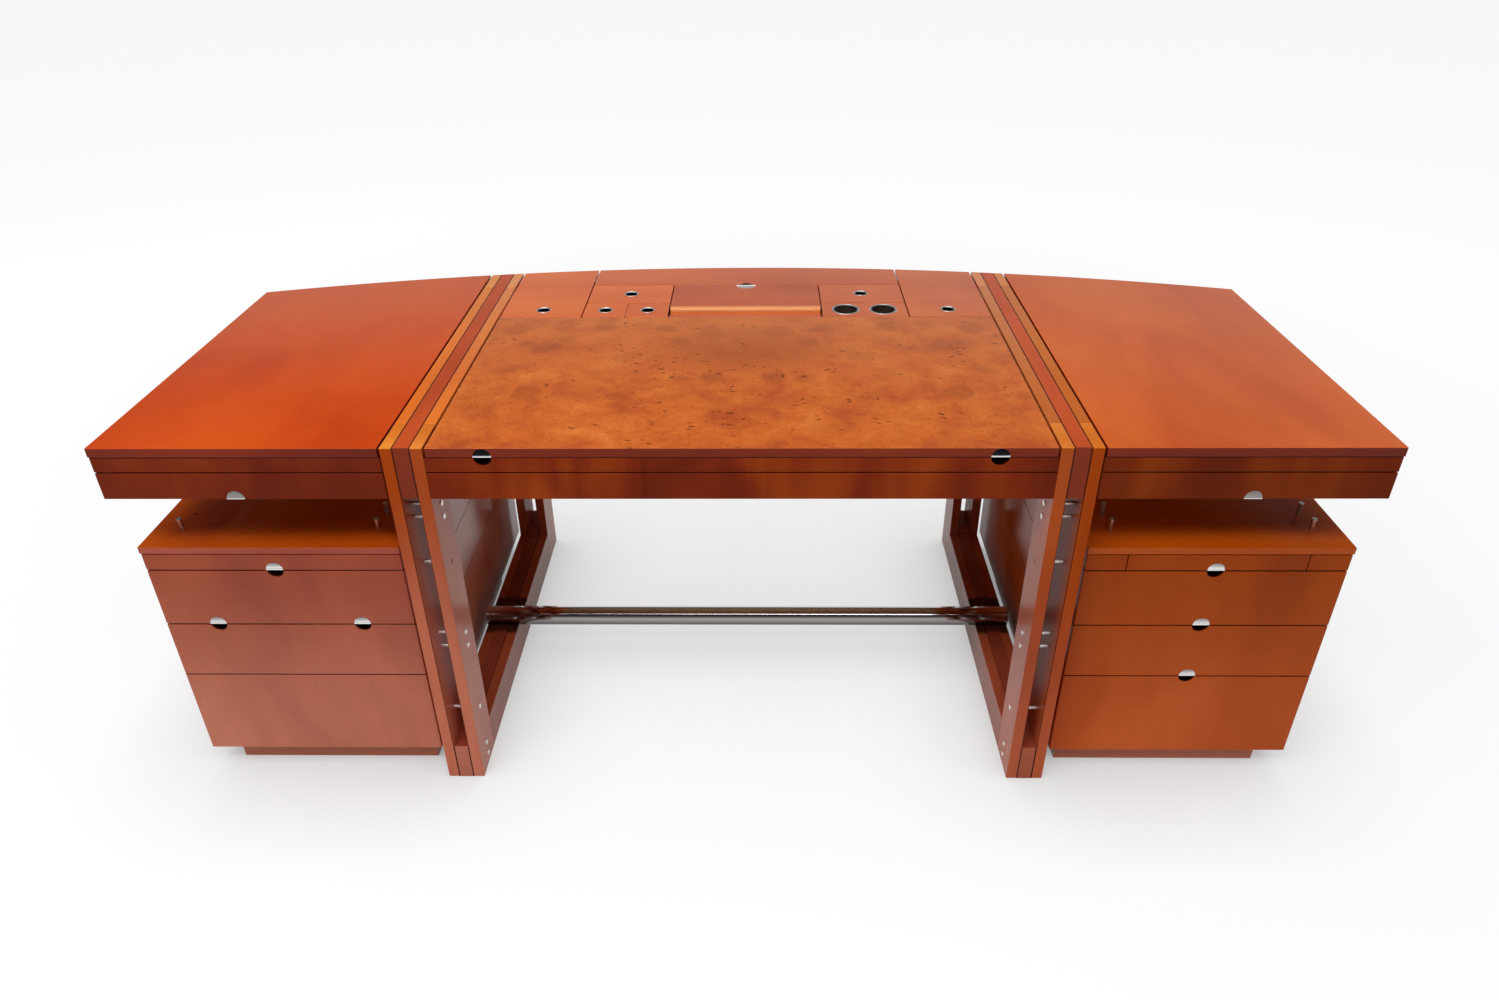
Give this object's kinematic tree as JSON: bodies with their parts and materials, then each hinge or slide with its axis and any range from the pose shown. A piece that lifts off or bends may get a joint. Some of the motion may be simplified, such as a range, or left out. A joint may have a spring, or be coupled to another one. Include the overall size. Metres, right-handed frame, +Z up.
{
  "type": "kneehole desk",
  "caption": "Executive kneehole desk with a bowed back, layered side frames, sliding burl top, lidded accessory row, drawer wings and free-standing drawer pedestals.",
  "frame": {"origin": "on the floor, under the middle of the desk's bounding box", "axes": "+X to the sitter's right, +Y from the sitter to the bowed back, +Z up"},
  "size_m": [2.134, 0.885, 0.74],
  "materials": {
    "cherry_lacquer": "red-brown stained veneer, satin lacquer",
    "light_cherry": "golden orange solid edge boards, satin lacquer",
    "dark_cherry": "dark red-brown, satin lacquer",
    "burl_veneer": "figured burl veneer, satin lacquer",
    "inner_wood": "plain pale wood",
    "bright_steel": "satin steel",
    "polished_tube": "polished steel tube"
  },
  "bodies": {
    "desk": {"centre_back_apron": "cherry_lacquer", "centre_compartments": "inner_wood", "centre_front_boards": "cherry_lacquer", "drawer_runners": "inner_wood", "footrest_tube": "polished_tube", "frame_core_rails": "dark_cherry", "frame_plugs": "dark_cherry", "frame_ties": "bright_steel", "left_inner_frame": "light_cherry", "left_outer_frame": "light_cherry", "left_pedestal_case": "cherry_lacquer", "left_pedestal_top": "cherry_lacquer", "left_wing_case": "cherry_lacquer", "left_wing_top": "cherry_lacquer", "lid_hinge_pins": "bright_steel", "pedestal_plinths": "dark_cherry", "pedestal_studs": "bright_steel", "pencil_board": "cherry_lacquer", "pencil_cups": "bright_steel", "right_inner_frame": "light_cherry", "right_outer_frame": "light_cherry", "right_pedestal_case": "cherry_lacquer", "right_pedestal_top": "cherry_lacquer", "right_wing_case": "cherry_lacquer", "right_wing_top": "cherry_lacquer", "row_fixed_boards": "cherry_lacquer"},
    "writing_top": {"writing_top": "burl_veneer", "writing_top_battens": "inner_wood", "writing_top_pulls": "bright_steel"},
    "left_wing_drawer": {"left_wing_drawer": "cherry_lacquer", "left_wing_drawer_pull": "bright_steel"},
    "right_wing_drawer": {"right_wing_drawer": "cherry_lacquer", "right_wing_drawer_pull": "bright_steel"},
    "left_tray": {"left_tray": "cherry_lacquer", "left_tray_pull": "bright_steel"},
    "left_upper_drawer": {"left_upper_drawer": "cherry_lacquer", "left_upper_drawer_pull": "bright_steel"},
    "left_file_drawer": {"left_file_drawer": "cherry_lacquer"},
    "right_tray": {"right_tray": "cherry_lacquer", "right_tray_pull": "bright_steel"},
    "right_upper_drawer": {"right_upper_drawer": "cherry_lacquer", "right_upper_drawer_pull": "bright_steel"},
    "right_middle_drawer": {"right_middle_drawer": "cherry_lacquer", "right_middle_drawer_pull": "bright_steel"},
    "right_lower_drawer": {"right_lower_drawer": "cherry_lacquer"},
    "left_lid": {"left_lid": "cherry_lacquer", "left_lid_ring": "bright_steel"},
    "right_lid": {"right_lid": "cherry_lacquer", "right_lid_ring": "bright_steel"},
    "left_rear_cover": {"left_rear_cover": "cherry_lacquer", "left_rear_cover_ring": "bright_steel"},
    "right_rear_cover": {"right_rear_cover": "cherry_lacquer", "right_rear_cover_ring": "bright_steel"},
    "left_front_cover_outer": {"left_front_cover_outer": "cherry_lacquer", "left_front_cover_outer_ring": "bright_steel"},
    "left_front_cover_inner": {"left_front_cover_inner": "cherry_lacquer", "left_front_cover_inner_ring": "bright_steel"},
    "flap": {"flap": "cherry_lacquer", "flap_pull": "bright_steel"}
  },
  "joints": [
    {"name": "writing_top_slide", "type": "slide", "parent": "desk", "child": "writing_top", "axis": [0, -1, 0], "range_m": [0, 0.26]},
    {"name": "left_wing_drawer_slide", "type": "slide", "parent": "desk", "child": "left_wing_drawer", "axis": [0, -1, 0], "range_m": [0, 0.4]},
    {"name": "right_wing_drawer_slide", "type": "slide", "parent": "desk", "child": "right_wing_drawer", "axis": [0, -1, 0], "range_m": [0, 0.4]},
    {"name": "left_tray_slide", "type": "slide", "parent": "desk", "child": "left_tray", "axis": [0, -1, 0], "range_m": [0, 0.3]},
    {"name": "left_upper_drawer_slide", "type": "slide", "parent": "desk", "child": "left_upper_drawer", "axis": [0, -1, 0], "range_m": [0, 0.48]},
    {"name": "left_file_drawer_slide", "type": "slide", "parent": "desk", "child": "left_file_drawer", "axis": [0, -1, 0], "range_m": [0, 0.48]},
    {"name": "right_tray_slide", "type": "slide", "parent": "desk", "child": "right_tray", "axis": [0, -1, 0], "range_m": [0, 0.3]},
    {"name": "right_upper_drawer_slide", "type": "slide", "parent": "desk", "child": "right_upper_drawer", "axis": [0, -1, 0], "range_m": [0, 0.48]},
    {"name": "right_middle_drawer_slide", "type": "slide", "parent": "desk", "child": "right_middle_drawer", "axis": [0, -1, 0], "range_m": [0, 0.48]},
    {"name": "right_lower_drawer_slide", "type": "slide", "parent": "desk", "child": "right_lower_drawer", "axis": [0, -1, 0], "range_m": [0, 0.48]},
    {"name": "left_rear_cover_lift", "type": "slide", "parent": "desk", "child": "left_rear_cover", "axis": [0, 0, 1], "range_m": [0, 0.12]},
    {"name": "right_rear_cover_lift", "type": "slide", "parent": "desk", "child": "right_rear_cover", "axis": [0, 0, 1], "range_m": [0, 0.12]},
    {"name": "left_front_cover_outer_lift", "type": "slide", "parent": "desk", "child": "left_front_cover_outer", "axis": [0, 0, 1], "range_m": [0, 0.12]},
    {"name": "left_front_cover_inner_lift", "type": "slide", "parent": "desk", "child": "left_front_cover_inner", "axis": [0, 0, 1], "range_m": [0, 0.12]},
    {"name": "left_lid_hinge", "type": "hinge", "parent": "desk", "child": "left_lid", "pos_m": [0, 0.39583, 0.71], "axis": [-1, 0, 0], "range_deg": [0, 85]},
    {"name": "right_lid_hinge", "type": "hinge", "parent": "desk", "child": "right_lid", "pos_m": [0, 0.39583, 0.71], "axis": [-1, 0, 0], "range_deg": [0, 85]},
    {"name": "flap_hinge", "type": "hinge", "parent": "desk", "child": "flap", "pos_m": [0, 0.192, 0.7315], "axis": [1, 0, 0], "range_deg": [0, 90]}
  ]
}
